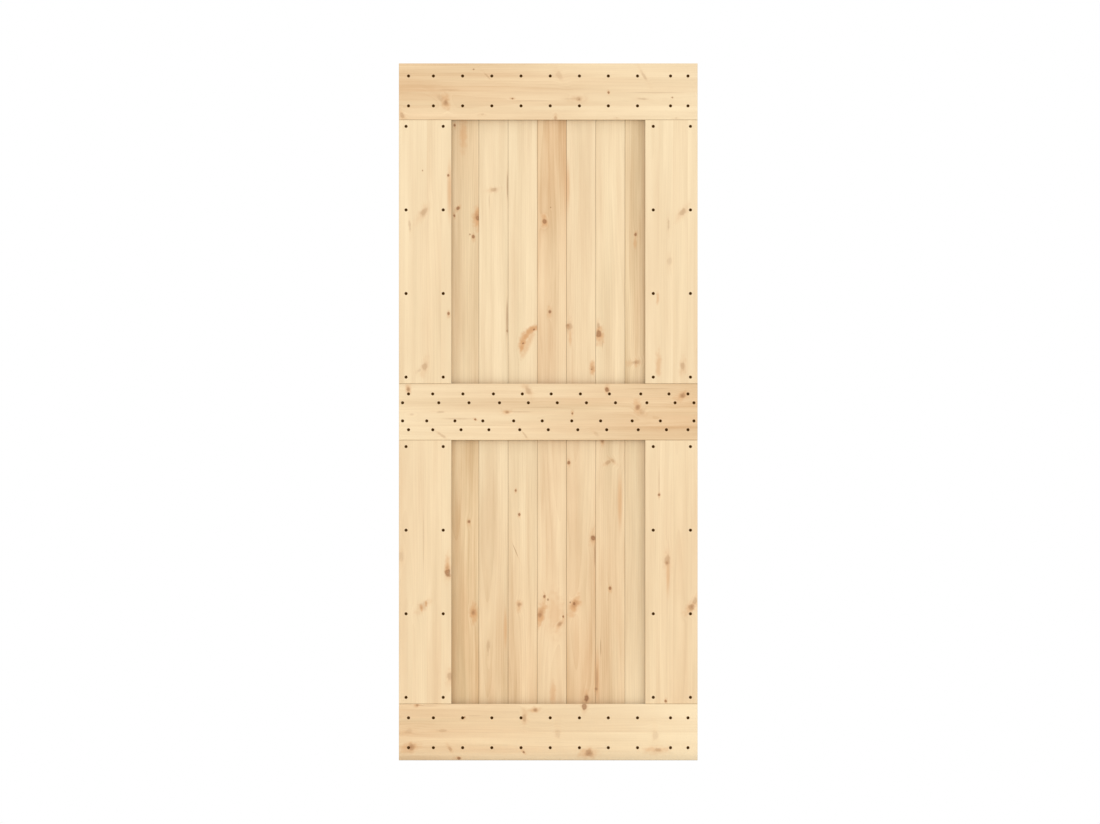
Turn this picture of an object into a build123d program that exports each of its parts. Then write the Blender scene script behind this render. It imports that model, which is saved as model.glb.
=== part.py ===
"""Sliding barn door leaf in solid pine.

Tongue-and-groove boards stand in two tiers that meet behind the middle rail. A front frame and a
matching back frame clamp them. The front frame has a countersunk seat for the head of each screw
that holds the three layers together. The screws are driven into the softwood with no pilot hole.

Millimetres. +Z is up and the front faces -Y. The origin is the middle of the top edge, where the
leaf hangs.
"""

import os
from itertools import pairwise

from build123d import *

# Leaf
leaf_width = 900.0
leaf_height = 2100.0

# Frame boards, the same section front and back
frame_thickness = 15.0
rail_width = 170.0
stile_width = 158.0
frame_joint_gap = 0.2
arris_bevel = 1.2

# Tongue-and-groove boards
board_thickness = 14.0
board_cover = 88.0
board_gap = 0.4
board_bevel = 0.8
tier_gap = 0.5
tongue_length = 6.0
tongue_thickness = 4.4
groove_clearance = 0.3

# Boards cut to width at the two sides share what the whole boards leave, the left one taking more
narrowest_pair = 80.0
left_board_excess = 22.0

# Countersunk seats for the screw heads. There are many, so each is cut with few sides
seat_radius = 4.8
seat_depth = 2.4
seat_taper = 45.0
seat_sides = 20

# Screw rows along the top and bottom rails
rail_row_inset = 38.0
rail_row_spacing = 90.0
side_screw_inset = 29.0

# Screw rows along the middle rail: a slanting pair in each board's end, above and below the butt
middle_inner_row = 27.3
middle_outer_row = 54.0
pair_offset = 18.3
middle_side_inset = 11.0

# Screw grid in each stile
stile_column_inset = 21.5
stile_column_spacing = 112.0
stile_row_inset = 19.5
stile_rows = 4

# How far the hand-set screws stand right of each whole board's middle, from left to right
rail_drift = (-5.0, -5.0, -5.0, -5.0, -5.0, -5.0, -6.0, -6.0, 5.5)
upper_pair_drift = (2.0, 5.0, 9.0, 8.0, 7.0, 7.0, 6.5, 13.0, 10.0)
lower_pair_drift = (-16.0, -19.0, -23.0, -18.0, -20.0, -19.0, -20.0, -13.0, -16.0)

# Levels and faces worked out from the sizes above
half_width = leaf_width / 2
half_thickness = board_thickness / 2 + frame_thickness
middle_level = -leaf_height / 2
stile_length = (leaf_height - 3 * rail_width) / 2 - 2 * frame_joint_gap
rail_levels = {
    "top": -rail_width / 2,
    "middle": middle_level,
    "bottom": -leaf_height + rail_width / 2,
}
stile_levels = {
    "upper": (rail_levels["top"] + middle_level) / 2,
    "lower": (rail_levels["bottom"] + middle_level) / 2,
}
stile_centre = half_width - stile_width / 2

# Each face plane has its normal outwards and its second axis up
front_face = Plane(origin=(0, -half_thickness, 0), x_dir=(1, 0, 0), z_dir=(0, -1, 0))
back_face = Plane(origin=(0, half_thickness, 0), x_dir=(-1, 0, 0), z_dir=(0, 1, 0))

whole_boards = int((leaf_width - narrowest_pair) // board_cover)
side_boards_width = leaf_width - whole_boards * board_cover
first_seam = -half_width + (side_boards_width + left_board_excess) / 2
seams = [first_seam + board_cover * i for i in range(whole_boards + 1)]
board_edges = [-half_width, *seams, half_width]
whole_board_centres = [(left + right) / 2 for left, right in pairwise(seams)]


def screw_line(drift):
    """Screw places across the leaf, one in each whole board, each off its middle by its drift."""
    return [centre + drift[i % len(drift)] for i, centre in enumerate(whole_board_centres)]


def screw_row(level, across, side_inset):
    """One row of screws at a level, with one near each side of the leaf as well."""
    side = half_width - side_inset
    return [(x, level) for x in (-side, *across, side)]


def end_rail_screws(outer_edge, inward):
    """Two rows along the top or bottom rail, set in from the leaf's edge."""
    across = screw_line(rail_drift)
    outer_row = outer_edge + inward * rail_row_inset
    inner_row = outer_row + inward * rail_row_spacing
    return [
        *screw_row(outer_row, across, side_screw_inset),
        *screw_row(inner_row, across, side_screw_inset),
    ]


def middle_rail_screws():
    """Four rows along the middle rail, the pairs leaning right going down."""
    upper = screw_line(upper_pair_drift)
    lower = screw_line(lower_pair_drift)
    lean = pair_offset / 2
    return [
        *screw_row(middle_level + middle_outer_row, [x - lean for x in upper], side_screw_inset),
        *screw_row(middle_level + middle_inner_row, [x + lean for x in upper], middle_side_inset),
        *screw_row(middle_level - middle_inner_row, [x - lean for x in lower], middle_side_inset),
        *screw_row(middle_level - middle_outer_row, [x + lean for x in lower], side_screw_inset),
    ]


def stile_screws(side, level):
    """Two columns of screws in a stile. side is -1 for the left stile and 1 for the right one."""
    columns = [half_width - stile_column_inset - stile_column_spacing * i for i in range(2)]
    row_spacing = (stile_length - 2 * stile_row_inset) / (stile_rows - 1)
    lowest = level - stile_length / 2 + stile_row_inset
    return [(side * x, lowest + row_spacing * i) for x in columns for i in range(stile_rows)]


def make_frame_board(label, face, centre, size, screws):
    """A rail or stile lying behind its face plane, with that face's arrises bevelled."""
    with BuildPart(face) as board:
        with BuildSketch(face):
            with Locations(centre):
                Rectangle(*size)
        extrude(amount=-frame_thickness)
        outer_face = board.faces().sort_by(Axis(face.origin, face.z_dir))[-1]
        chamfer(outer_face.edges(), arris_bevel)
        if screws:
            with BuildSketch(face):
                with Locations(*screws):
                    RegularPolygon(seat_radius, seat_sides)
            extrude(amount=-seat_depth, taper=seat_taper, mode=Mode.SUBTRACT)
    board.part.label = label
    export_step(board.part, f"parts/{label}.step")


def make_core_board(label, left, right, bottom, top, grooved, tongued):
    """A board with a groove down its left edge and a tongue down its right one."""
    middle = (left + right) / 2
    groove_depth = tongue_length - board_gap + groove_clearance
    with BuildPart() as board:
        with BuildSketch(Plane.XY.offset(bottom)) as section:
            with Locations((middle, 0)):
                Rectangle(right - left, board_thickness)
            chamfer(section.vertices(), board_bevel)
            if tongued:
                with Locations((right, 0)):
                    Rectangle(tongue_length, tongue_thickness, align=(Align.MIN, Align.CENTER))
            if grooved:
                with Locations((left, 0)):
                    Rectangle(
                        groove_depth,
                        tongue_thickness + 2 * groove_clearance,
                        align=(Align.MIN, Align.CENTER),
                        mode=Mode.SUBTRACT,
                    )
        extrude(amount=top - bottom)
    board.part.label = label
    export_step(board.part, f"parts/{label}.step")


def make_frame(side_name, face, screwed):
    """Three rails and four stiles. A screwed frame has the seats for the screw heads."""
    across = face.x_dir.X
    rail_screws = {
        "top": end_rail_screws(0, -1),
        "middle": middle_rail_screws(),
        "bottom": end_rail_screws(-leaf_height, 1),
    }
    for name, level in rail_levels.items():
        screws = rail_screws[name] if screwed else []
        make_frame_board(f"{side_name}_{name}_rail", face, (0, level), (leaf_width, rail_width), screws)
    for tier, level in stile_levels.items():
        for hand, side in (("left", -1), ("right", 1)):
            make_frame_board(
                f"{side_name}_{tier}_{hand}_stile",
                face,
                (side * across * stile_centre, level),
                (stile_width, stile_length),
                stile_screws(side, level) if screwed else [],
            )


def make_core():
    """Two tiers of boards across the leaf, numbered from the left."""
    tiers = {
        "upper": (middle_level + tier_gap / 2, 0),
        "lower": (-leaf_height, middle_level - tier_gap / 2),
    }
    last = len(board_edges) - 2
    for tier, (bottom, top) in tiers.items():
        for i, (left, right) in enumerate(pairwise(board_edges)):
            make_core_board(
                f"{tier}_board_{i + 1:02d}",
                left if i == 0 else left + board_gap / 2,
                right if i == last else right - board_gap / 2,
                bottom,
                top,
                grooved=i > 0,
                tongued=i < last,
            )


os.makedirs("parts", exist_ok=True)
make_frame("front", front_face, screwed=True)
make_core()
make_frame("back", back_face, screwed=False)
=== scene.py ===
"""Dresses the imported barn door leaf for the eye.

Every board gets planed pine with its own share of heartwood, its own grain and its own knots. Black
countersunk screws fill the seats in the front frame. A pale floor, soft light and a camera square on
to the leaf make the stage.
"""

import math
import random
from typing import NamedTuple

import bmesh
import bpy
from mathutils import Matrix, Vector


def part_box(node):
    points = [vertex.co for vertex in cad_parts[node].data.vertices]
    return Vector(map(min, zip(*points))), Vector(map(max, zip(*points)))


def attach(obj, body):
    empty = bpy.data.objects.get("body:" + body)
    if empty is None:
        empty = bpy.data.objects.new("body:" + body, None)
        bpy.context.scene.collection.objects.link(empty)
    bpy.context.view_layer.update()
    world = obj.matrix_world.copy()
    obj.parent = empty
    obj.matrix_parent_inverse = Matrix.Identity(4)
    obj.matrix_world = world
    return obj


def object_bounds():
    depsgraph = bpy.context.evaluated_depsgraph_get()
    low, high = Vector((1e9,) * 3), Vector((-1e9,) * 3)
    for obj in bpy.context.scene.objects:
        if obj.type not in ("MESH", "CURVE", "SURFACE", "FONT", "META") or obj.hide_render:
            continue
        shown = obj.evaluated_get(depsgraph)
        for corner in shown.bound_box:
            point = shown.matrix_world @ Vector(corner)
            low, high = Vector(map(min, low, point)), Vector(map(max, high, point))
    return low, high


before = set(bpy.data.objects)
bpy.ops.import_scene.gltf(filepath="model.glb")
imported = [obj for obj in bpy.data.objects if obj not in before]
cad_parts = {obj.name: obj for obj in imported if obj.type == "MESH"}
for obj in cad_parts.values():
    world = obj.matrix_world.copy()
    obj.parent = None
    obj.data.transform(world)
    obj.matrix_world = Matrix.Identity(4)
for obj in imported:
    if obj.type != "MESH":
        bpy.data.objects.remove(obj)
cad_low, cad_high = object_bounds()

bl_info = {
    "name": "Barn door leaf",
    "version": (1, 0, 0),
    "blender": (4, 5, 0),
    "location": "View3D > Sidebar > Leaf",
    "description": "Dresses a planked pine barn door leaf and sets its stage",
    "category": "Object",
}

MM = 0.001
LEAF_SIZE = cad_high - cad_low
LEAF_MIDDLE = (cad_low + cad_high) / 2
BODY = "root"

# The photograph's frame, and where the leaf stands in it
PHOTO_WIDTH_PX = 1100
PHOTO_HEIGHT_PX = 824
LEAF_WIDTH_PX = 298.68
LEAF_MIDDLE_PX = (548.25, 411.84)
METRES_PER_PX = LEAF_SIZE.x / LEAF_WIDTH_PX

# The countersunk seats in the front boards: their depth, how far a vertex of a seat's floor may be off
# that depth, and how far apart two of them may lie
SEAT_DEPTH = 2.4 * MM
SEAT_DEPTH_TOLERANCE = 0.1 * MM
SEAT_SPREAD = 6 * MM

# A screw head: its sides, the eased edge of its top, half the width of a recess arm for its reach, and
# the reach and width of the recess floor for those of its mouth
HEAD_SIDES = 24
HEAD_EASE = 0.12 * MM
ARM_HALF_WIDTH = 0.24
RECESS_FLOOR_REACH = 0.55
RECESS_FLOOR_WIDTH = 0.6

# How boldly the grain shows in the glued frame boards and in the boards between the frames
FRAME_BOLDNESS = 0.75
BOARD_BOLDNESS = 0.92

# Uneven outlines of knots: how far they go in and out for the knot's radius, and the size of a bulge.
# Marks slimmer than the last value keep an even outline
KNOT_UNEVENNESS = 0.45
KNOT_BULGE = 13 * MM
EVEN_SLIMNESS = 0.2

# The stage, in metres
FLOOR_REACH = 30.0
LIGHT_DISTANCE = 4.0
CAMERA_DISTANCE = 4.0

FRONT_FRAME = sorted(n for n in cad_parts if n.startswith("front_"))
BACK_FRAME = sorted(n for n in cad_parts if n.startswith("back_"))
CORE_BOARDS = sorted(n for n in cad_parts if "_board_" in n)


class KnotKind(NamedTuple):
    """How a kind of knot looks.

    Slimness is its width for its length, heart and halo are how dark those are, swell is how far the
    year lines bend past it, and core is the share of the heart's radius inside its fading edge.
    """

    slimness: float
    heart: float
    halo: float
    swell: float
    core: float = 0.3


KNOT_KINDS = {
    "pin": KnotKind(slimness=0.85, heart=0.65, halo=0.15, swell=0.1, core=0.6),
    "dark": KnotKind(slimness=0.8, heart=0.9, halo=0.4, swell=0.3, core=0.4),
    "brown": KnotKind(slimness=0.8, heart=0.74, halo=0.3, swell=0.2, core=0.55),
    "red": KnotKind(slimness=0.85, heart=0.66, halo=0.5, swell=0.5, core=0.1),
    "orange": KnotKind(slimness=0.7, heart=0.36, halo=0.74, swell=0.2, core=0.05),
    "wing": KnotKind(slimness=0.72, heart=0.04, halo=0.85, swell=0.3),
    "tan": KnotKind(slimness=0.6, heart=0.36, halo=0.25, swell=0.4),
    "pale": KnotKind(slimness=0.6, heart=0.17, halo=0.08, swell=0.4),
    "sliver": KnotKind(slimness=0.22, heart=0.28, halo=0.08, swell=0.2),
    "streak": KnotKind(slimness=0.06, heart=0.22, halo=0.05, swell=0.0),
    "line": KnotKind(slimness=0.028, heart=0.2, halo=0.03, swell=0.0),
    "crack": KnotKind(slimness=0.06, heart=0.5, halo=0.1, swell=0.0),
    "resin": KnotKind(slimness=0.15, heart=0.0, halo=0.5, swell=0.0),
    "stain": KnotKind(slimness=0.35, heart=0.0, halo=0.45, swell=0.0),
    "flush": KnotKind(slimness=0.6, heart=0.0, halo=0.3, swell=0.0),
}


class Knot(NamedTuple):
    """A knot's place in mm right of the leaf's middle and below its top, its kind and its length.

    Its lean is in degrees clockwise from the grain, seen from the front.
    """

    right: float
    down: float
    kind: str
    length: float
    lean: float = 0.0


# Knots and streaks that show on the front frame, board by board
FRAME_KNOTS = (
    # Top rail
    Knot(-225, 18, "pin", 7),
    Knot(-185, 37, "sliver", 32, 45),
    Knot(33, 36, "pale", 36, 56),
    Knot(288, 36, "sliver", 52, 58),
    Knot(-308, 117, "red", 26, 80),
    Knot(-325, 105, "pale", 34, 35),
    Knot(-300, 80, "streak", 90),
    Knot(-108, 106, "dark", 9),
    Knot(-50, 113, "line", 190),
    Knot(91, 107, "tan", 28),
    Knot(93, 108, "pin", 8),
    Knot(68, 107, "streak", 60),
    Knot(182, 88, "dark", 10, 80),
    Knot(325, 88, "line", 210),
    Knot(284, 107, "sliver", 42, 4),
    Knot(374, 103, "pin", 7),
    Knot(-440, 156, "tan", 26, 60),
    Knot(-198, 154, "pale", 12),
    Knot(22, 166, "tan", 16, 90),
    Knot(206, 164, "pale", 10),
    Knot(385, 165, "pale", 12),
    # Upper stiles
    Knot(-379, 323, "pin", 5),
    Knot(-301, 337, "dark", 11),
    Knot(-297, 372, "resin", 90),
    Knot(-376, 449, "tan", 38, 32),
    Knot(-418, 488, "sliver", 46, -6),
    Knot(-301, 754, "dark", 13),
    Knot(-373, 913, "tan", 34, 12),
    Knot(-388, 925, "pale", 18, 60),
    Knot(405, 447, "tan", 34, 35),
    Knot(362, 486, "sliver", 46),
    Knot(366, 594, "pale", 34, 5),
    Knot(330, 708, "stain", 22),
    Knot(332, 900, "stain", 46),
    Knot(405, 913, "tan", 34, 8),
    # Middle rail
    Knot(-421, 982, "red", 18, 90),
    Knot(-61, 985, "tan", 34, 62),
    Knot(177, 983, "dark", 18, 90),
    Knot(404, 1002, "red", 26, -35),
    Knot(270, 1036, "red", 24, 84),
    Knot(282, 1050, "pale", 30, 50),
    Knot(-124, 1051, "red", 16),
    Knot(-84, 1050, "streak", 100),
    Knot(-20, 1036, "line", 150),
    Knot(73, 1055, "dark", 9, 90),
    Knot(-325, 1051, "sliver", 36),
    Knot(-411, 1058, "pale", 16),
    Knot(-220, 1073, "dark", 9, 30),
    Knot(-275, 1071, "streak", 110),
    Knot(-322, 1120, "sliver", 46, 36),
    Knot(-71, 1119, "sliver", 36, 54),
    Knot(145, 1117, "pale", 22, 40),
    Knot(310, 980, "line", 180),
    # Lower stiles
    Knot(-304, 1522, "orange", 26),
    Knot(-302, 1534, "brown", 30),
    Knot(-303, 1508, "stain", 40),
    Knot(-375, 1634, "pale", 50, 42),
    Knot(-382, 1641, "orange", 14),
    Knot(-368, 1627, "orange", 12),
    Knot(-374, 1634, "flush", 36, 42),
    Knot(-445, 1486, "pale", 40),
    Knot(-376, 1440, "line", 220),
    Knot(-297, 1846, "tan", 36),
    Knot(334, 1300, "dark", 11),
    Knot(334, 1260, "streak", 120),
    Knot(361, 1494, "sliver", 44),
    Knot(359, 1499, "tan", 40),
    Knot(358, 1505, "red", 15),
    Knot(361, 1525, "resin", 70),
    Knot(432, 1638, "red", 28, 40),
    Knot(443, 1619, "tan", 30, 25),
    Knot(354, 1922, "dark", 13),
    # Bottom rail
    Knot(-386, 1935, "crack", 44, 4),
    Knot(-394, 1934, "red", 12),
    Knot(-355, 1936, "streak", 80),
    Knot(-39, 1948, "red", 18),
    Knot(109, 1939, "brown", 22, 90),
    Knot(-252, 1970, "dark", 11, -40),
    Knot(-225, 1966, "streak", 70),
    Knot(-72, 1972, "tan", 28, 90),
    Knot(28, 2020, "pale", 36, 90),
    Knot(322, 2024, "pale", 40, 82),
    Knot(-319, 2011, "sliver", 44),
    Knot(-420, 2012, "pale", 32, -20),
    Knot(-414, 2061, "red", 33, -12),
    Knot(-296, 2066, "tan", 18, 60),
    Knot(-74, 2076, "dark", 11, 45),
    Knot(-270, 2094, "dark", 15),
    Knot(124, 2078, "red", 32),
    Knot(162, 2063, "streak", 70),
    Knot(328, 2068, "stain", 44),
    Knot(330, 2068, "tan", 26),
    Knot(330, 2070, "flush", 40),
)

# Knots and streaks in the boards between the frames
BOARD_KNOTS = (
    # Upper boards
    Knot(-282, 187, "dark", 11),
    Knot(-256, 206, "stain", 56),
    Knot(-272, 437, "dark", 14, 35),
    Knot(-283, 459, "dark", 10),
    Knot(-214, 460, "orange", 36),
    Knot(-213, 466, "brown", 17),
    Knot(-226, 522, "dark", 15),
    Knot(-236, 515, "pin", 7),
    Knot(-162, 380, "tan", 26, 80),
    Knot(-178, 415, "streak", 60),
    Knot(-123, 368, "crack", 110),
    Knot(-124, 768, "crack", 150),
    Knot(-123, 806, "pin", 10),
    Knot(-43, 802, "dark", 9, 45),
    Knot(-44, 800, "wing", 26, 70),
    Knot(-57, 808, "wing", 28, 54),
    Knot(-69, 822, "wing", 28, 36),
    Knot(-77, 840, "wing", 28, 20),
    Knot(-80, 854, "wing", 20, 12),
    Knot(-76, 844, "dark", 9, 40),
    Knot(-60, 838, "stain", 56, 25),
    Knot(-66, 848, "flush", 24, 30),
    Knot(-11, 474, "orange", 26),
    Knot(-11, 475, "brown", 20),
    Knot(7, 434, "pin", 6),
    Knot(4, 748, "dark", 18),
    Knot(59, 362, "resin", 80),
    Knot(63, 793, "tan", 38),
    Knot(60, 789, "red", 16),
    Knot(66, 820, "stain", 30),
    Knot(133, 918, "orange", 22),
    Knot(131, 922, "pin", 8),
    Knot(155, 814, "orange", 32),
    Knot(153, 814, "brown", 27),
    Knot(151, 789, "tan", 24),
    Knot(164, 847, "crack", 34),
    Knot(263, 516, "dark", 15),
    Knot(262, 537, "stain", 24),
    Knot(262, 901, "tan", 30, 80),
    Knot(263, 902, "red", 14),
    # Lower boards
    Knot(163, 1139, "red", 16),
    Knot(181, 1202, "tan", 24, 60),
    Knot(194, 1197, "tan", 22, -50),
    Knot(62, 1204, "dark", 14),
    Knot(-98, 1287, "dark", 8),
    Knot(-87, 1359, "dark", 12),
    Knot(-238, 1381, "dark", 15),
    Knot(135, 1430, "tan", 34),
    Knot(135, 1429, "dark", 24),
    Knot(140, 1480, "crack", 100),
    Knot(-99, 1468, "crack", 60, -22),
    Knot(186, 1581, "dark", 13),
    Knot(-12, 1606, "dark", 15),
    Knot(-1, 1616, "pin", 9),
    Knot(-88, 1632, "red", 20),
    Knot(80, 1630, "orange", 36, 20),
    Knot(78, 1628, "dark", 12),
    Knot(66, 1624, "pin", 7),
    Knot(-225, 1652, "orange", 28),
    Knot(-226, 1654, "red", 20),
    Knot(-21, 1655, "orange", 38, 15),
    Knot(-24, 1661, "red", 22),
    Knot(20, 1650, "flush", 76),
    Knot(45, 1667, "dark", 10),
    Knot(35, 1690, "red", 22, 30),
    Knot(-181, 1757, "sliver", 60),
    Knot(-129, 1696, "resin", 60),
    Knot(158, 1760, "crack", 70),
    Knot(147, 1856, "crack", 110),
    Knot(147, 1840, "resin", 90),
    Knot(146, 1885, "red", 14),
    Knot(14, 1900, "stain", 44),
    Knot(116, 1912, "dark", 27),
    Knot(115, 1900, "stain", 18),
    Knot(216, 1312, "resin", 84),
)


class Cut(NamedTuple):
    """A board's share of heartwood at its bottom or left end and at its top or right end.

    Warmth goes from 0, dull and olive, to 1, orange.
    """

    first: float
    last: float
    warmth: float = 0.5


# The boards that show on the front
CUTS = {
    "front_top_rail": Cut(0.64, 0.14, 0.75),
    "front_middle_rail": Cut(0.2, 0.7, 0.85),
    "front_bottom_rail": Cut(0.58, 0.04, 0.7),
    "front_upper_left_stile": Cut(0.3, 0.2, 0.6),
    "front_upper_right_stile": Cut(0.28, 0.2, 0.6),
    "front_lower_left_stile": Cut(0.32, 0.26, 0.6),
    "front_lower_right_stile": Cut(0.44, 0.3, 0.7),
    "upper_board_03": Cut(0.46, 0.66, 0.15),
    "upper_board_04": Cut(0.22, 0.26, 0.4),
    "upper_board_05": Cut(0.28, 0.18, 0.45),
    "upper_board_06": Cut(0.36, 0.88, 0.85),
    "upper_board_07": Cut(0.42, 0.16, 0.7),
    "upper_board_08": Cut(0.36, 0.32, 0.4),
    "upper_board_09": Cut(0.78, 0.58, 0.05),
    "lower_board_03": Cut(1.0, 0.84, 0.2),
    "lower_board_04": Cut(0.78, 0.2, 0.5),
    "lower_board_05": Cut(0.72, 0.26, 0.5),
    "lower_board_06": Cut(0.46, 0.4, 0.85),
    "lower_board_07": Cut(0.74, 0.34, 0.75),
    "lower_board_08": Cut(0.58, 0.42, 0.6),
    "lower_board_09": Cut(0.28, 0.46, 0.2),
}
# Least and most heartwood in a board that doesn't show
UNSEEN_HEARTWOOD = (0.15, 0.5)


def linear(hex_colour):
    """An sRGB hex colour as linear red, green and blue."""
    shares = [int(hex_colour[i : i + 2], 16) / 255 for i in (1, 3, 5)]
    return [s / 12.92 if s <= 0.04045 else ((s + 0.055) / 1.055) ** 2.4 for s in shares]


def add(tree, kind, inputs=None, **settings):
    """Adds a node with its settings, and fills its inputs with values or with links from nodes."""
    node = tree.nodes.new("ShaderNode" + kind)
    node.location = (220 * len(tree.nodes), 0)
    for name, value in settings.items():
        setattr(node, name, value)
    for name, value in (inputs or {}).items():
        open_sockets = [s for s in node.inputs if s.enabled]
        if isinstance(name, int):
            socket = open_sockets[name]
        else:
            socket = next(s for s in open_sockets if s.name == name)
        if isinstance(value, bpy.types.Node):
            value = next(s for s in value.outputs if s.enabled)
        if isinstance(value, bpy.types.NodeSocket):
            tree.links.new(value, socket)
        else:
            socket.default_value = value
    return node


def new_group(name, inputs, outputs):
    """A node group with those sockets. Returns the group, what it is given and what it has to make."""
    tree = bpy.data.node_groups.new(name, "ShaderNodeTree")
    for in_out, sockets in (("INPUT", inputs), ("OUTPUT", outputs)):
        for label, kind in sockets.items():
            tree.interface.new_socket(label, in_out=in_out, socket_type="NodeSocket" + kind)
    return tree, tree.nodes.new("NodeGroupInput").outputs, tree.nodes.new("NodeGroupOutput").inputs


class PineSettings(bpy.types.PropertyGroup):
    """Colours and sizes of the planed pine."""

    sapwood: bpy.props.FloatVectorProperty(
        name="Sapwood", description="Pale outer wood", subtype="COLOR", default=linear("#F8E2BB")
    )
    dull_heartwood: bpy.props.FloatVectorProperty(
        name="Dull heartwood", description="Inner wood with an olive cast", subtype="COLOR",
        default=linear("#D8B88A"),
    )
    warm_heartwood: bpy.props.FloatVectorProperty(
        name="Warm heartwood", description="Inner wood with an orange cast", subtype="COLOR",
        default=linear("#DCAE7C"),
    )
    knot_halo: bpy.props.FloatVectorProperty(
        name="Knot halo", description="Stained wood round a knot", subtype="COLOR",
        default=linear("#D69C64"),
    )
    knot_heart: bpy.props.FloatVectorProperty(
        name="Knot heart", description="Brown middle of a knot", subtype="COLOR",
        default=linear("#96643A"),
    )
    ring_spacing: bpy.props.FloatProperty(
        name="Ring spacing", description="Width of one year's growth", unit="LENGTH", default=3.2 * MM
    )
    streak_width: bpy.props.FloatProperty(
        name="Streak width", description="Width of a run of light or dark years", unit="LENGTH",
        default=14 * MM,
    )
    stave_width: bpy.props.FloatProperty(
        name="Stave width", description="Strips that a frame board is glued from", unit="LENGTH",
        default=42.5 * MM,
    )
    stave_length: bpy.props.FloatProperty(
        name="Stave length", description="Usual length of a strip", unit="LENGTH", default=3000 * MM
    )
    # Strength of the painted shade that darkens the colour in deep corners, recesses and seams
    corner_painted_shade: bpy.props.FloatProperty(
        name="Painted corner shade", description="How much duller a deep corner is", subtype="FACTOR",
        default=0.55, min=0, max=1,
    )
    roughness: bpy.props.FloatProperty(
        name="Roughness", description="Planed and left bare", default=0.58, min=0, max=1
    )


class ScrewSettings(bpy.types.PropertyGroup):
    """Colour and sizes of the countersunk screws."""

    colour: bpy.props.FloatVectorProperty(
        name="Black phosphate", description="Coating of the screws", subtype="COLOR",
        default=linear("#482C06"),
    )
    head_radius: bpy.props.FloatProperty(
        name="Head radius", description="Radius of the flat head", unit="LENGTH", default=4.75 * MM
    )
    head_depth: bpy.props.FloatProperty(
        name="Head depth", description="Depth of the cone under the head", unit="LENGTH",
        default=2.35 * MM,
    )
    recess_reach: bpy.props.FloatProperty(
        name="Recess reach", description="Length of one arm of the cross recess", unit="LENGTH",
        default=2.5 * MM,
    )
    recess_depth: bpy.props.FloatProperty(
        name="Recess depth", description="Depth of the cross recess", unit="LENGTH", default=1.4 * MM
    )


class StageSettings(bpy.types.PropertyGroup):
    """Floor, light and camera."""

    floor_colour: bpy.props.FloatVectorProperty(
        name="Floor", description="Pale matt floor", subtype="COLOR", default=linear("#F1EFEB")
    )
    floor_gap: bpy.props.FloatProperty(
        name="Floor gap", description="How far the leaf hangs above the floor", unit="LENGTH",
        default=10 * MM,
    )
    sky_strength: bpy.props.FloatProperty(
        name="Room light", description="Even light from all round", default=0.61, min=0
    )
    key_strength: bpy.props.FloatProperty(
        name="Key light", description="Strength of the soft light in front", default=0.97, min=0
    )
    back_strength: bpy.props.FloatProperty(
        name="Back light", description="Strength of the soft light behind", default=0.97, min=0
    )
    overhead_strength: bpy.props.FloatProperty(
        name="Overhead light", description="Strength of the broad light above", default=0.56, min=0
    )


def knot_group():
    """One knot: a ringed brown heart, an orange halo drawn out along the grain, and years that swell."""
    tree, given, made = new_group(
        "pine_knot",
        {
            "Place": "Vector", "Location": "Vector", "Rotation": "Vector", "Scale": "Vector",
            "Wobble": "Float", "Kind": "Vector", "Core": "Float",
            "Heart": "Float", "Halo": "Float", "Swell": "Float",
        },
        {"Heart": "Float", "Halo": "Float", "Swell": "Float"},
    )
    kind = add(tree, "SeparateXYZ", {0: given["Kind"]})
    local = add(
        tree, "Mapping",
        {"Vector": given["Place"], "Location": given["Location"], "Rotation": given["Rotation"],
         "Scale": given["Scale"]},
        vector_type="TEXTURE",
    )
    flat = add(tree, "VectorMath", {0: local, 1: (1, 0, 1)}, operation="MULTIPLY")

    # The halo is wider than the heart, drawn out along the grain and a little lower, or left on a rail
    halo_share = (0.6, 0, 0.36)
    halo_offset = (0, 0, 0.08)
    drawn_out = add(
        tree, "VectorMath", {0: flat, 1: halo_share, 2: halo_offset}, operation="MULTIPLY_ADD"
    )

    ring_pace = 16.0
    ring_depth = 0.08
    near = add(tree, "VectorMath", {0: flat}, operation="LENGTH").outputs["Value"]
    far = add(tree, "VectorMath", {0: drawn_out}, operation="LENGTH").outputs["Value"]
    heart_reach = add(tree, "Math", {0: near, 1: given["Wobble"]}, operation="ADD")
    halo_reach = add(tree, "Math", {0: far, 1: given["Wobble"]}, operation="ADD")
    for name, reach, edge, core, strength, joined in (
        ("Heart", heart_reach, 1.0, given["Core"], "X", "MAXIMUM"),
        ("Halo", halo_reach, 1.0, 0.15, "Y", "MAXIMUM"),
        ("Swell", far, 1.6, 0.0, "Z", "ADD"),
    ):
        mark = add(
            tree, "MapRange",
            {"Value": reach, "From Min": edge, "From Max": core, "To Max": kind.outputs[strength]},
            interpolation_type="SMOOTHSTEP",
        )
        if name == "Heart":
            # Fine rings, and a rim that is darker than the middle
            turns = add(tree, "Math", {0: reach, 1: ring_pace}, operation="MULTIPLY")
            ring = add(tree, "Math", {0: turns}, operation="SINE")
            rim = add(
                tree, "MapRange",
                {"Value": reach, "From Min": 0.1, "From Max": 0.8, "To Min": 0.88, "To Max": 1.0},
            )
            ringed = add(tree, "Math", {0: ring, 1: ring_depth, 2: rim}, operation="MULTIPLY_ADD")
            mark = add(tree, "Math", {0: mark, 1: ringed}, operation="MULTIPLY")
        total = add(tree, "Math", {0: mark, 1: given[name]}, operation=joined)
        tree.links.new(total.outputs[0], made[name])
    return tree


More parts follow.
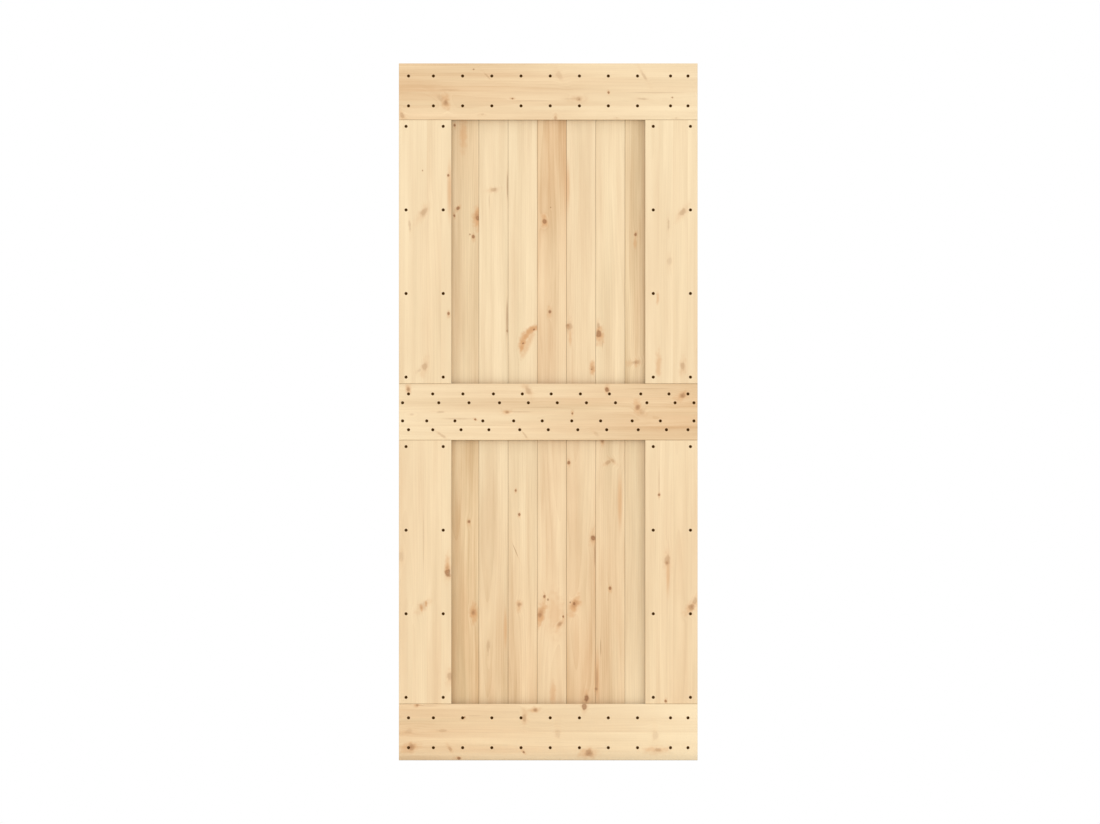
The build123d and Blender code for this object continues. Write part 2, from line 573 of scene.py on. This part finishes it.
def grain_noise(tree, place):
    """Noise drawn out along the grain, by name, with its size across and along the grain in mm.

    Fibre is finer than the picture's pixels, so it is drawn coarse enough to show.
    """
    noise = {}
    for name, across, along, detail in (
        ("wander", 150, 900, 2.0),
        ("broad", 34, 460, 2.0),
        ("lines", 5, 260, 2.0),
        ("fibre", 1.6, 60, 2.0),
        ("hue", 45, 420, 1.0),
    ):
        size = (1 / (across * MM), 1 / (across * MM), 1 / (along * MM))
        drawn_out = add(tree, "VectorMath", {0: place, 1: size}, operation="MULTIPLY")
        noise[name] = add(tree, "TexNoise", {"Vector": drawn_out, "Scale": 1.0, "Detail": detail})
    return noise


def growth(tree, given, noise, pine):
    """How far from its pith the wood grew, in a log that wanders and swells past a knot."""
    wander_reach = 9 * MM
    swell_reach = 2.5 * pine.ring_spacing
    out = add(tree, "VectorMath", {0: given["Place"], 1: given["Pith"]}, operation="SUBTRACT")
    level = add(tree, "VectorMath", {0: out, 1: (1, 1, 0)}, operation="MULTIPLY")
    radius = add(tree, "VectorMath", {0: level}, operation="LENGTH")
    wander = add(
        tree, "MapRange",
        {"Value": noise["wander"], "To Min": -wander_reach, "To Max": wander_reach},
        clamp=False,
    )
    wandered = add(tree, "Math", {0: radius.outputs["Value"], 1: wander}, operation="ADD")
    return add(
        tree, "Math", {0: given["Swell"], 1: swell_reach, 2: wandered}, operation="MULTIPLY_ADD"
    )


def late_wood(tree, grown, pine):
    """Each year's growth, from pale early wood to a dark line of late wood."""
    sharpness = 2.2
    years = add(tree, "Math", {0: grown, 1: pine.ring_spacing}, operation="DIVIDE")
    year = add(tree, "Math", {0: years}, operation="FRACT")
    return add(tree, "Math", {0: year, 1: sharpness}, operation="POWER")


def year_runs(tree, given, place, grown, pine):
    """Runs of years that are light or dark together."""
    run_length = 900 * MM
    pattern_step = 5.0
    along = add(tree, "SeparateXYZ", {0: place}).outputs["Z"]
    ring_place = add(tree, "CombineXYZ", {"X": grown, "Y": along, "Z": given["Shift"]})
    ring_size = (1 / pine.streak_width, 1 / run_length, pattern_step)
    drawn_out = add(tree, "VectorMath", {0: ring_place, 1: ring_size}, operation="MULTIPLY")
    return add(tree, "TexNoise", {"Vector": drawn_out, "Scale": 1.0, "Detail": 4.0, "Roughness": 0.6})


def grain_figure(tree, given, noise, late, run):
    """How much darker than its board the wood is, streak by streak. Heartwood shows more of it."""
    sapwood_contrast = 0.42
    heartwood_contrast = 0.8
    figure = 0.0
    for value, low, high, least, most in (
        (noise["broad"], 0.3, 0.7, -0.28, 0.28),
        (run, 0.3, 0.7, -0.34, 0.34),
        (late, 0.0, 1.0, -0.06, 0.16),
        (noise["lines"], 0.56, 0.8, 0.0, 0.25),
        (noise["fibre"], 0.2, 0.8, -0.1, 0.1),
    ):
        part = add(
            tree, "MapRange",
            {"Value": value, "From Min": low, "From Max": high, "To Min": least, "To Max": most},
        )
        figure = add(tree, "Math", {0: figure, 1: part}, operation="ADD")
    contrast = add(
        tree, "Math", {0: given["Tone"], 1: heartwood_contrast, 2: sapwood_contrast},
        operation="MULTIPLY_ADD",
    )
    bold = add(tree, "Math", {0: contrast, 1: given["Boldness"]}, operation="MULTIPLY")
    return add(tree, "Math", {0: figure, 1: bold}, operation="MULTIPLY")


def wood_colour(tree, given, noise, figure, pine):
    """From pale sapwood to tan heartwood, then knots and glue lines over both, and painted shade
    darkening corners, recesses and seams.
    """
    figure_in_tone = 0.6
    figure_in_shade = -0.16
    hue_drift = 0.4
    # How far from a wall the painted corner shade reaches
    painted_shade_reach = 45 * MM
    tone = add(
        tree, "Math", {0: figure, 1: figure_in_tone, 2: given["Tone"]}, operation="MULTIPLY_ADD"
    )
    shade = add(tree, "Math", {0: figure, 1: figure_in_shade, 2: 1.0}, operation="MULTIPLY_ADD")
    drift = add(
        tree, "MapRange",
        {"Value": noise["hue"], "From Min": 0.25, "From Max": 0.75, "To Min": -hue_drift,
         "To Max": hue_drift},
    )
    warmth = add(tree, "Math", {0: given["Warmth"], 1: drift}, operation="ADD")
    heartwood = add(
        tree, "Mix",
        {"Factor": warmth, "A": (*pine.dull_heartwood, 1), "B": (*pine.warm_heartwood, 1)},
        data_type="RGBA",
    )
    colour = add(
        tree, "Mix", {"Factor": tone, "A": (*pine.sapwood, 1), "B": heartwood}, data_type="RGBA"
    )
    colour = add(tree, "VectorMath", {0: colour, "Scale": shade}, operation="SCALE")
    for mark, stain in (
        ("Halo", pine.knot_halo),
        ("Heart", pine.knot_heart),
        ("Glue", pine.knot_halo),
    ):
        colour = add(
            tree, "Mix", {"Factor": given[mark], "A": colour, "B": (*stain, 1)}, data_type="RGBA"
        )

    # Painted shade: the colour is darkened towards black wherever ambient occlusion finds corners,
    # recesses and seams, standing in for the shade that falls there
    corner = add(tree, "AmbientOcclusion", {"Distance": painted_shade_reach})
    painted_shade = add(
        tree, "MapRange",
        {"Value": corner.outputs["AO"], "From Min": 1.0, "From Max": 0.0, "To Max": pine.corner_painted_shade},
    )
    return add(tree, "Mix", {"Factor": painted_shade, "A": colour, "B": (0, 0, 0, 1)}, data_type="RGBA")


def pine_group(pine):
    """Planed pine along its grain: rings round a pith, runs of light and dark years, and fibre."""
    roughness_spread = 0.1
    late_ridge = 0.4
    knot_ridge = 0.8
    tree, given, made = new_group(
        "planed_pine",
        {
            "Place": "Vector", "Pith": "Vector", "Shift": "Float", "Tone": "Float", "Warmth": "Float",
            "Boldness": "Float", "Heart": "Float", "Halo": "Float", "Swell": "Float", "Glue": "Float",
        },
        {"Color": "Color", "Roughness": "Float", "Height": "Float"},
    )
    shift = add(tree, "CombineXYZ", {axis: given["Shift"] for axis in "XYZ"})
    place = add(tree, "VectorMath", {0: given["Place"], 1: shift}, operation="ADD")
    noise = grain_noise(tree, place)
    grown = growth(tree, given, noise, pine)
    late = late_wood(tree, grown, pine)
    run = year_runs(tree, given, place, grown, pine)
    figure = grain_figure(tree, given, noise, late, run)
    colour = wood_colour(tree, given, noise, figure, pine)
    tree.links.new(next(s for s in colour.outputs if s.enabled), made["Color"])

    rough = add(
        tree, "MapRange",
        {"Value": noise["fibre"], "To Min": pine.roughness - roughness_spread,
         "To Max": pine.roughness + roughness_spread},
    )
    tree.links.new(rough.outputs[0], made["Roughness"])
    ridge = add(tree, "Math", {0: late, 1: late_ridge, 2: noise["fibre"]}, operation="MULTIPLY_ADD")
    height = add(tree, "Math", {0: given["Heart"], 1: knot_ridge, 2: ridge}, operation="MULTIPLY_ADD")
    tree.links.new(height.outputs[0], made["Height"])
    return tree


def node_group(name, make, *settings):
    """The node group of that name, made once."""
    return bpy.data.node_groups.get(name) or make(*settings)


def knots_in(node, knots):
    """The knots whose middles lie in a board, seen from the front."""
    low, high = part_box(node)
    return [
        k for k in knots
        if low.x <= k.right * MM <= high.x and low.z <= -k.down * MM <= high.z
    ]


def chance_knots(node, rng):
    """A few knots spread along a board that the photograph doesn't show."""
    low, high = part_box(node)
    found = []
    for _ in range(rng.randint(4, 6)):
        kind = rng.choice(["pin", "dark", "red", "pale", "pale"])
        right = rng.uniform(low.x, high.x) / MM
        down = -rng.uniform(low.z, high.z) / MM
        found.append(Knot(right, down, kind, rng.uniform(8, 26), rng.uniform(-20, 20)))
    return found


def lay_knots(tree, place, knots, runs_across):
    """Lays knots with uneven outlines, one after another, and returns what they add up to."""
    bulges = add(tree, "TexNoise", {"Vector": place, "Scale": 1 / KNOT_BULGE, "Detail": 1.5})
    wobble = add(
        tree, "MapRange", {"Value": bulges, "To Min": -KNOT_UNEVENNESS, "To Max": KNOT_UNEVENNESS},
        clamp=False,
    )
    totals = {"Heart": 0.0, "Halo": 0.0, "Swell": 0.0}
    for knot in knots:
        look = KNOT_KINDS[knot.kind]
        right, up = knot.right * MM, -knot.down * MM
        half_length = knot.length * MM / 2
        turn = math.radians(knot.lean)
        one = add(
            tree, "Group",
            {
                "Place": place,
                "Location": (up, 0, right) if runs_across else (right, 0, up),
                "Rotation": (0, -turn if runs_across else turn, 0),
                "Scale": (half_length * look.slimness, 1, half_length),
                "Wobble": wobble if look.slimness > EVEN_SLIMNESS else 0.0,
                "Kind": (look.heart, look.halo, look.swell),
                "Core": look.core,
                **totals,
            },
            node_tree=node_group("pine_knot", knot_group),
        )
        totals = {name: one.outputs[name] for name in totals}
    return totals


def glue_staves(tree, rows, tone, shift, rng, pine):
    """Gives each stave of a board its own tone and grain. Returns those and the glue lines."""
    glue_width = 0.25 * MM
    tone_step = 0.1
    grain_step = 3.0
    glue_stain = 0.18
    staves = add(
        tree, "TexBrick",
        {
            "Vector": rows, "Color1": (0, 0, 0, 1), "Color2": (1, 1, 1, 1), "Mortar": (0.5, 0.5, 0.5, 1),
            "Scale": 1.0, "Mortar Size": glue_width, "Mortar Smooth": 0.2,
            "Brick Width": pine.stave_length, "Row Height": pine.stave_width,
        },
        offset=rng.uniform(0.3, 0.6), squash=rng.uniform(0.8, 1.2),
    )
    pick = staves.outputs["Color"]
    lean = add(tree, "Math", {0: pick, 1: 0.5}, operation="SUBTRACT")
    return (
        add(tree, "Math", {0: lean, 1: tone_step, 2: tone}, operation="MULTIPLY_ADD"),
        add(tree, "Math", {0: pick, 1: grain_step, 2: shift}, operation="MULTIPLY_ADD"),
        add(tree, "Math", {0: staves.outputs["Fac"], 1: glue_stain}, operation="MULTIPLY"),
    )


def planed_pine(node, pine, knots, glued_staves):
    """Planed bare pine: pale and matt, with soft streaks along the grain, knots and fine fibre.

    A frame board is glued from staves, which show as strips that change tone at faint straight lines.
    """
    rng = random.Random(node)
    low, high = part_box(node)
    runs_across = node.endswith("_rail")
    across_axis, along_axis = ("Z", "X") if runs_across else ("X", "Z")
    across, along = (2, 0) if runs_across else (0, 2)

    material = bpy.data.materials.new("planed_pine_" + node)
    material.use_nodes = True
    tree = material.node_tree
    tree.nodes.clear()
    where = add(tree, "TexCoord")
    axes = add(tree, "SeparateXYZ", {0: where.outputs["Object"]})
    place = add(
        tree, "CombineXYZ",
        {"X": axes.outputs[across_axis], "Y": axes.outputs["Y"], "Z": axes.outputs[along_axis]},
    )
    marks = lay_knots(tree, place, knots, runs_across)

    # The board's own share of heartwood, from end to end
    cut = CUTS.get(node) or Cut(rng.uniform(*UNSEEN_HEARTWOOD), rng.uniform(*UNSEEN_HEARTWOOD))
    tone = add(
        tree, "MapRange",
        {"Value": axes.outputs[along_axis], "From Min": low[along], "From Max": high[along],
         "To Min": cut.first, "To Max": cut.last},
    )
    shift = rng.uniform(2, 9)
    glue = 0.0
    if glued_staves:
        rows = add(tree, "CombineXYZ", {"X": axes.outputs[along_axis], "Y": axes.outputs[across_axis]})
        rows = add(tree, "VectorMath", {0: rows, 1: (shift, -low[across], 0)}, operation="ADD")
        tone, shift, glue = glue_staves(tree, rows, tone, shift, rng, pine)

    # The pith of the log lies in front of the board or behind it, not far from its middle
    pith_across = (low[across] + high[across]) / 2 + rng.uniform(-70, 70) * MM
    pith_out = rng.choice((-1, 1)) * rng.uniform(55, 130) * MM
    wood = add(
        tree, "Group",
        {
            "Place": place, "Pith": (pith_across, pith_out, 0), "Shift": shift, "Tone": tone,
            "Warmth": cut.warmth, "Boldness": FRAME_BOLDNESS if glued_staves else BOARD_BOLDNESS,
            "Glue": glue, **marks,
        },
        node_tree=node_group("planed_pine", pine_group, pine),
    )
    bump = add(tree, "Bump", {"Strength": 0.35, "Distance": 0.12 * MM, "Height": wood.outputs["Height"]})
    shader = add(
        tree, "BsdfPrincipled",
        {
            "Base Color": wood.outputs["Color"], "Roughness": wood.outputs["Roughness"],
            "Normal": bump, "IOR": 1.5, "Specular IOR Level": 0.3,
        },
    )
    add(tree, "OutputMaterial", {"Surface": shader})
    return material


def dress(boards, pine, knots, glued_staves):
    """Gives each board its own planed pine, with knots by chance where none are given."""
    if not boards:
        raise RuntimeError("there are no boards to dress")
    for node in boards:
        board_knots = knots_in(node, knots) if knots else chance_knots(node, random.Random(node))
        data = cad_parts[node].data
        data.materials.clear()
        data.materials.append(planed_pine(node, pine, board_knots, glued_staves))


def black_phosphate(screws):
    """Oiled black phosphate on steel: near black with a warm brown cast, and hardly any sheen."""
    material = bpy.data.materials.new("black_phosphated_steel")
    material.use_nodes = True
    tree = material.node_tree
    tree.nodes.clear()
    where = add(tree, "TexCoord")
    # Phosphate crystals are too fine to show, so the grit is drawn this coarse
    grit_size = 0.8 * MM
    grit = add(
        tree, "TexNoise", {"Vector": where.outputs["Object"], "Scale": 1 / grit_size, "Detail": 2.0}
    )
    # The coating is darker where it is thick
    thick = [c * 0.6 for c in screws.colour]
    thin = [c * 1.5 for c in screws.colour]
    worn = add(tree, "Mix", {"Factor": grit, "A": (*thick, 1), "B": (*thin, 1)}, data_type="RGBA")
    rough = add(tree, "MapRange", {"Value": grit, "To Min": 0.42, "To Max": 0.66})
    shader = add(
        tree, "BsdfPrincipled",
        {"Base Color": worn, "Roughness": rough, "Specular IOR Level": 0.04},
    )
    add(tree, "OutputMaterial", {"Surface": shader})
    return material


def seats_in(node):
    """Middles of the countersunk seats in a front board, found from the vertices of their floors."""
    level = cad_low.y + SEAT_DEPTH
    floors = []
    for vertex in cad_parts[node].data.vertices:
        if abs(vertex.co.y - level) > SEAT_DEPTH_TOLERANCE:
            continue
        near = next((f for f in floors if (f[0] - vertex.co).length < SEAT_SPREAD), None)
        if near:
            near.append(vertex.co.copy())
        else:
            floors.append([vertex.co.copy()])
    return [(Vector(map(min, *f)) + Vector(map(max, *f))) / 2 for f in floors]


def head_mesh(screws):
    """One countersunk head, its top at the origin facing -Y, with a cross recess."""
    mesh = bpy.data.meshes.new("screw_head")
    bm = bmesh.new()
    arm = screws.recess_reach
    half = arm * ARM_HALF_WIDTH

    def loop(points, depth):
        verts = [bm.verts.new((x, depth, z)) for x, z in points]
        return verts, [bm.edges.new((a, b)) for a, b in zip(verts, verts[1:] + verts[:1])]

    def circle(radius):
        turns = [2 * math.pi * i / HEAD_SIDES for i in range(HEAD_SIDES)]
        return [(radius * math.cos(t), radius * math.sin(t)) for t in turns]

    def cross(reach, width):
        quarter = [(reach, -width), (reach, width), (width, width)]
        points = []
        for i in range(4):
            c, s = (1, 0, -1, 0)[i], (0, 1, 0, -1)[i]
            points += [(x * c - z * s, x * s + z * c) for x, z in quarter]
        return points

    def wall(upper, lower):
        for i in range(len(upper)):
            j = (i + 1) % len(upper)
            bm.faces.new((upper[i], upper[j], lower[j], lower[i]))

    rim, _ = loop(circle(screws.head_radius), HEAD_EASE)
    top, top_edges = loop(circle(screws.head_radius - HEAD_EASE), 0)
    neck, _ = loop(circle(screws.head_radius - screws.head_depth), screws.head_depth)
    mouth, mouth_edges = loop(cross(arm, half), 0)
    recess_floor = cross(arm * RECESS_FLOOR_REACH, half * RECESS_FLOOR_WIDTH)
    floor, _ = loop(recess_floor, screws.recess_depth)
    wall(top, rim)
    wall(rim, neck)
    wall(mouth, floor)
    bm.faces.new(neck)
    bm.faces.new(floor)
    bmesh.ops.triangle_fill(bm, edges=top_edges + mouth_edges, use_beauty=True)
    bmesh.ops.recalc_face_normals(bm, faces=bm.faces)
    bm.to_mesh(mesh)
    bm.free()
    return mesh


def drive(node, head, material, rng):
    """Fills every seat of a front board with a screw head, each turned as the driver left it."""
    bm = bmesh.new()
    seats = seats_in(node)
    if not seats:
        raise RuntimeError(f"{node} has no screw seats")
    for seat in seats:
        before = len(bm.verts)
        bm.from_mesh(head)
        bm.verts.ensure_lookup_table()
        turned = Matrix.Rotation(rng.uniform(0, math.pi / 2), 4, "Y")
        placed = Matrix.Translation((seat.x, cad_low.y, seat.z)) @ turned
        bmesh.ops.transform(bm, matrix=placed, verts=bm.verts[before:])
    mesh = bpy.data.meshes.new(node + "_screws")
    bm.to_mesh(mesh)
    bm.free()
    mesh.materials.append(material)
    piece = bpy.data.objects.new(node + "_screws", mesh)
    bpy.context.scene.collection.objects.link(piece)
    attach(piece, BODY)


def lay_floor(stage):
    """Matt floor paint just under the leaf: pale and even, with no shine, so only the shadow shows."""
    level = cad_low.z - stage.floor_gap
    mesh = bpy.data.meshes.new("floor")
    sides = ((-1, -1), (1, -1), (1, 1), (-1, 1))
    corners = [(x * FLOOR_REACH, y * FLOOR_REACH, level) for x, y in sides]
    mesh.from_pydata(corners, [], [(0, 1, 2, 3)])
    material = bpy.data.materials.new("matt_floor_paint")
    material.use_nodes = True
    tree = material.node_tree
    tree.nodes.clear()
    shader = add(tree, "BsdfPrincipled", {"Base Color": (*stage.floor_colour, 1), "Roughness": 0.9})
    add(tree, "OutputMaterial", {"Surface": shader})
    mesh.materials.append(material)
    floor = bpy.data.objects.new("floor", mesh)
    bpy.context.scene.collection.objects.link(floor)


def light_room(scene, stage):
    """Even light from all round, with white wherever the camera or a mirror looks past the leaf."""
    world = bpy.data.worlds.new("white_room")
    world.use_nodes = True
    tree = world.node_tree
    tree.nodes.clear()
    path = add(tree, "LightPath")
    seen = add(
        tree, "Math", {0: path.outputs["Is Camera Ray"], 1: path.outputs["Is Glossy Ray"]},
        operation="MAXIMUM",
    )
    through = add(tree, "Math", {0: seen, 1: path.outputs["Is Transmission Ray"]}, operation="MAXIMUM")
    strength = add(tree, "MapRange", {"Value": through, "To Min": stage.sky_strength, "To Max": 1.0})
    sky = add(tree, "Background", {"Color": (1, 1, 1, 1), "Strength": strength})
    add(tree, "OutputWorld", {"Surface": sky})
    scene.world = world


def soft_light(name, towards, spread, strength):
    """A broad even light from far off in that direction, its spread in degrees."""
    data = bpy.data.lights.new(name, "SUN")
    data.angle = math.radians(spread)
    data.energy = strength
    light = bpy.data.objects.new(name, data)
    light.location = LEAF_MIDDLE + LIGHT_DISTANCE * Vector(towards)
    light.rotation_euler = Vector(towards).to_track_quat("Z", "Y").to_euler()
    bpy.context.scene.collection.objects.link(light)


def place_camera(scene):
    """A camera with no perspective, square on, with the leaf where the photograph has it."""
    data = bpy.data.cameras.new("square_on")
    data.type = "ORTHO"
    data.sensor_fit = "HORIZONTAL"
    data.ortho_scale = PHOTO_WIDTH_PX * METRES_PER_PX
    camera = bpy.data.objects.new("square_on", data)
    right = (PHOTO_WIDTH_PX / 2 - LEAF_MIDDLE_PX[0]) * METRES_PER_PX
    down = (PHOTO_HEIGHT_PX / 2 - LEAF_MIDDLE_PX[1]) * METRES_PER_PX
    camera.location = LEAF_MIDDLE + Vector((right, -CAMERA_DISTANCE, -down))
    camera.rotation_euler = (math.pi / 2, 0, 0)
    scene.collection.objects.link(camera)
    scene.camera = camera


class LEAF_OT_dress_front_frame(bpy.types.Operator):
    """Planed pine on the rails and stiles of the front"""

    bl_idname = "leaf.dress_front_frame"
    bl_label = "Dress the front frame"

    def execute(self, context):
        dress(FRONT_FRAME, context.scene.leaf_pine, FRAME_KNOTS, glued_staves=True)
        return {"FINISHED"}


class LEAF_OT_dress_core_boards(bpy.types.Operator):
    """Planed pine on the tongue-and-groove boards"""

    bl_idname = "leaf.dress_core_boards"
    bl_label = "Dress the boards"

    def execute(self, context):
        dress(CORE_BOARDS, context.scene.leaf_pine, BOARD_KNOTS, glued_staves=False)
        return {"FINISHED"}


class LEAF_OT_dress_back_frame(bpy.types.Operator):
    """Planed pine on the rails and stiles of the back"""

    bl_idname = "leaf.dress_back_frame"
    bl_label = "Dress the back frame"

    def execute(self, context):
        dress(BACK_FRAME, context.scene.leaf_pine, (), glued_staves=True)
        return {"FINISHED"}


class LEAF_OT_drive_screws(bpy.types.Operator):
    """Black screws in every seat of the front frame"""

    bl_idname = "leaf.drive_screws"
    bl_label = "Drive the screws"

    def execute(self, context):
        screws = context.scene.leaf_screws
        material = black_phosphate(screws)
        head = head_mesh(screws)
        rng = random.Random("screws")
        for node in FRONT_FRAME:
            drive(node, head, material, rng)
        bpy.data.meshes.remove(head)
        return {"FINISHED"}


class LEAF_OT_set_stage(bpy.types.Operator):
    """Pale floor, soft light and a camera square on to the leaf"""

    bl_idname = "leaf.set_stage"
    bl_label = "Set the stage"

    def execute(self, context):
        stage = context.scene.leaf_stage
        context.scene.view_settings.view_transform = "Standard"
        lay_floor(stage)
        light_room(context.scene, stage)
        soft_light("key_light", (0.08, -0.98, 0.16), spread=16, strength=stage.key_strength)
        soft_light("back_light", (-0.08, 0.98, 0.16), spread=16, strength=stage.back_strength)
        soft_light("overhead_light", (0, 0, 1), spread=60, strength=stage.overhead_strength)
        place_camera(context.scene)
        return {"FINISHED"}


class LEAF_PT_sidebar(bpy.types.Panel):
    """Lists the steps that dress the leaf"""

    bl_label = "Barn door leaf"
    bl_space_type = "VIEW_3D"
    bl_region_type = "UI"
    bl_category = "Leaf"

    def draw(self, context):
        for step in STEPS:
            self.layout.operator(step.bl_idname)


SETTINGS = {"leaf_pine": PineSettings, "leaf_screws": ScrewSettings, "leaf_stage": StageSettings}
STEPS = (
    LEAF_OT_dress_front_frame,
    LEAF_OT_dress_core_boards,
    LEAF_OT_dress_back_frame,
    LEAF_OT_drive_screws,
    LEAF_OT_set_stage,
)


def register():
    for name, group in SETTINGS.items():
        bpy.utils.register_class(group)
        setattr(bpy.types.Scene, name, bpy.props.PointerProperty(type=group))
    for step in (*STEPS, LEAF_PT_sidebar):
        bpy.utils.register_class(step)


def unregister():
    for step in (LEAF_PT_sidebar, *reversed(STEPS)):
        bpy.utils.unregister_class(step)
    for name, group in SETTINGS.items():
        delattr(bpy.types.Scene, name)
        bpy.utils.unregister_class(group)


def main():
    register()
    bpy.ops.leaf.dress_front_frame()
    bpy.ops.leaf.dress_core_boards()
    bpy.ops.leaf.dress_back_frame()
    bpy.ops.leaf.drive_screws()
    bpy.ops.leaf.set_stage()


if __name__ == "__main__":
    main()
